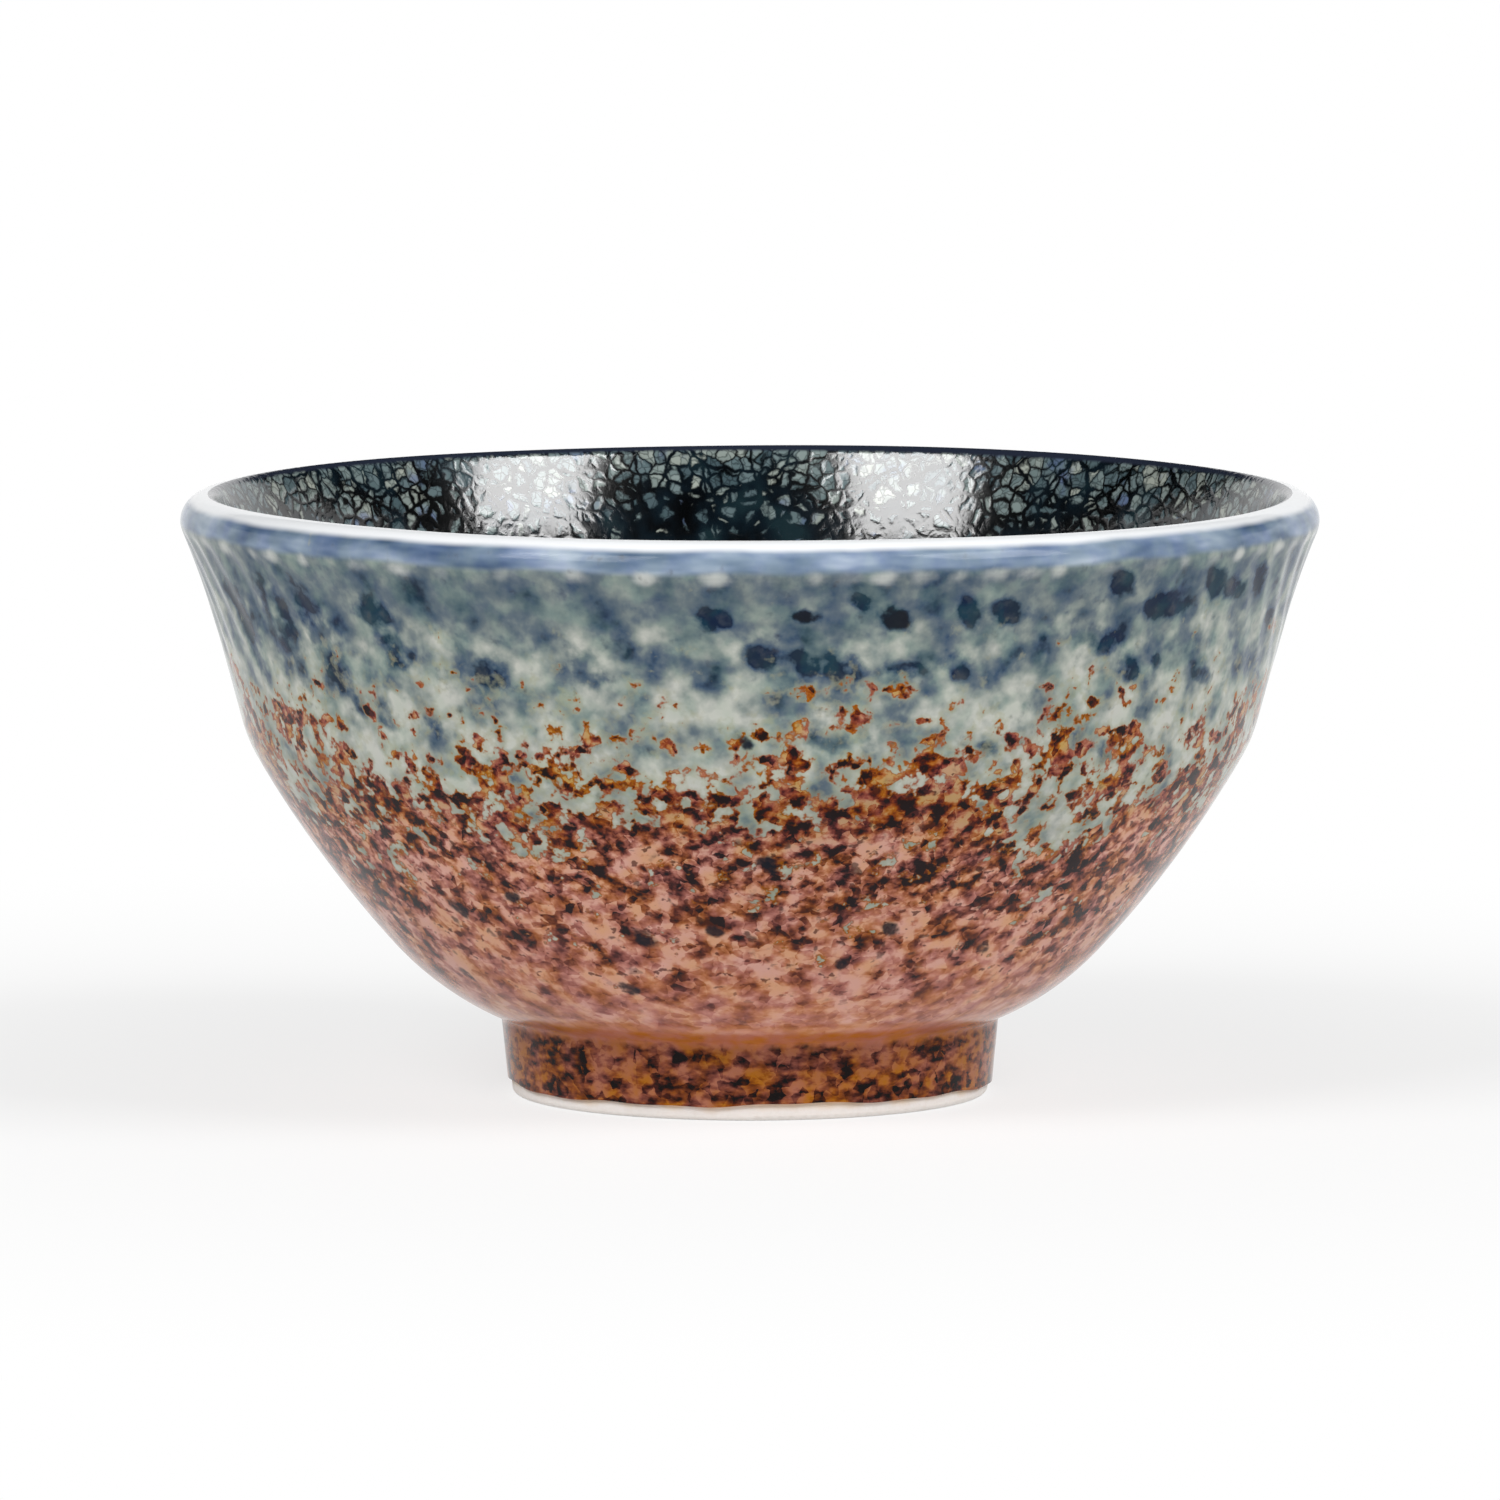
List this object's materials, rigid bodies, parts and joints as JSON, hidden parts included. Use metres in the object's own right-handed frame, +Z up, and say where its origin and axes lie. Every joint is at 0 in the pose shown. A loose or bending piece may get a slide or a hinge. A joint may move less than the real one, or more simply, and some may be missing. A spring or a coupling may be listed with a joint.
{
  "type": "matcha tea bowl",
  "caption": "Footed ceramic tea bowl with a steep wall, flared lip, layered blue, celadon and russet glaze, and a dark crackled liner.",
  "frame": {"origin": "centre of the foot's contact ring, on the surface the bowl stands on", "axes": "+Z up the bowl's axis, from the foot to the mouth; -Y is the side that is seen first"},
  "size_m": [0.12, 0.12, 0.0638],
  "materials": {
    "body_clay": "matte",
    "foot_clay": "matte",
    "liner_glaze": "gloss",
    "lip_glaze": "gloss",
    "upper_glaze": "gloss",
    "lower_glaze": "gloss",
    "foot_glaze": "gloss",
    "well_glaze": "gloss"
  },
  "bodies": {
    "root": {"clay_bowl": "body_clay", "foot_ring": "foot_clay", "liner_glaze": "liner_glaze", "lip_glaze": "lip_glaze", "upper_glaze": "upper_glaze", "lower_glaze": "lower_glaze", "foot_glaze": "foot_glaze", "well_glaze": "well_glaze"}
  },
  "joints": []
}
